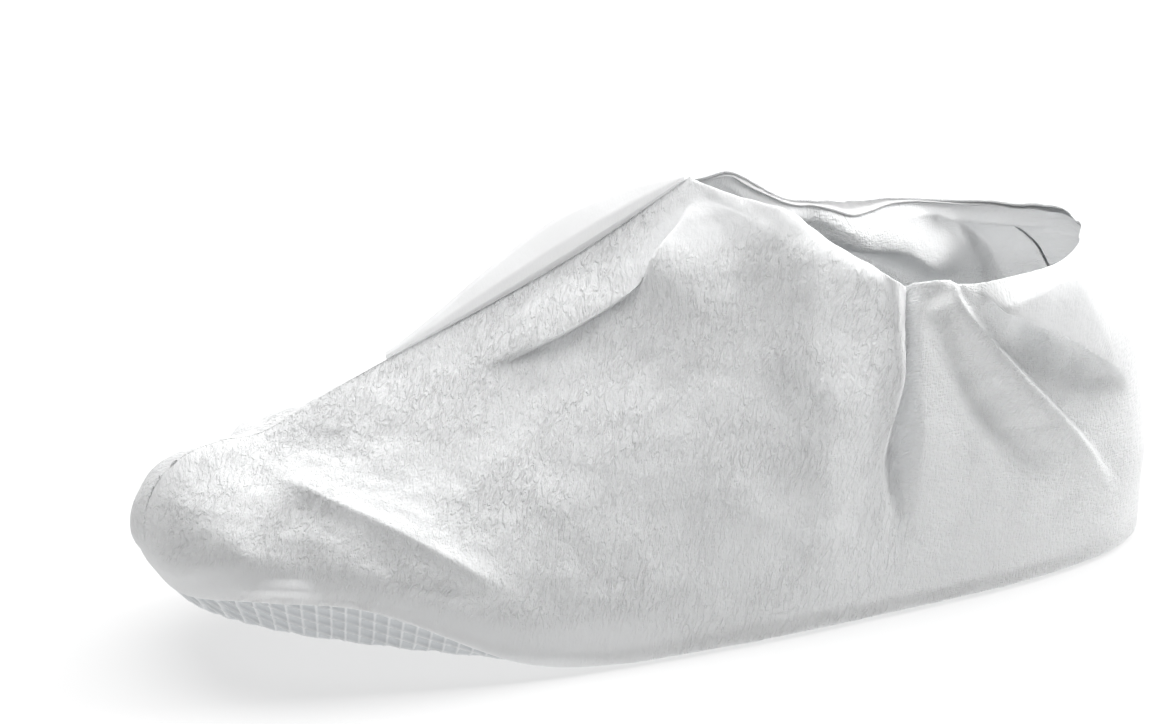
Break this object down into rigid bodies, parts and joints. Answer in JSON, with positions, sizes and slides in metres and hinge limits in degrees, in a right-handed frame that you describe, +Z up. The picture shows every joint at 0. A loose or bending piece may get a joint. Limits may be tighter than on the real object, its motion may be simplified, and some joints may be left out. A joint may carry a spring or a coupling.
{
  "type": "shoe cover",
  "caption": "Disposable over-shoe of white embossed nonwoven cloth with a gathered ankle opening and a ribbed slip-resistant sole; a shoe goes in at the top.",
  "frame": {"origin": "on the floor under the middle of the cover's length and width", "axes": "+Z up, the toe points along -Y, the heel along +Y, and +X is the wearer's left"},
  "size_m": [0.1206, 0.3237, 0.127],
  "materials": {
    "upper_cloth": "matt white nonwoven laminate, embossed with short wavy marks",
    "sole_grid": "coated cloth with a raised grid of ribs, slightly greyer than the upper",
    "hem_cloth": "the upper's cloth turned in over an elastic and gathered",
    "seam_cloth": "smooth folded edge of the upper's cloth"
  },
  "bodies": {
    "root": {"side_panel_left": "upper_cloth", "side_panel_right": "upper_cloth", "sole": "sole_grid", "ankle_hem": "hem_cloth", "front_seam": "seam_cloth", "heel_seam": "seam_cloth"}
  },
  "joints": []
}
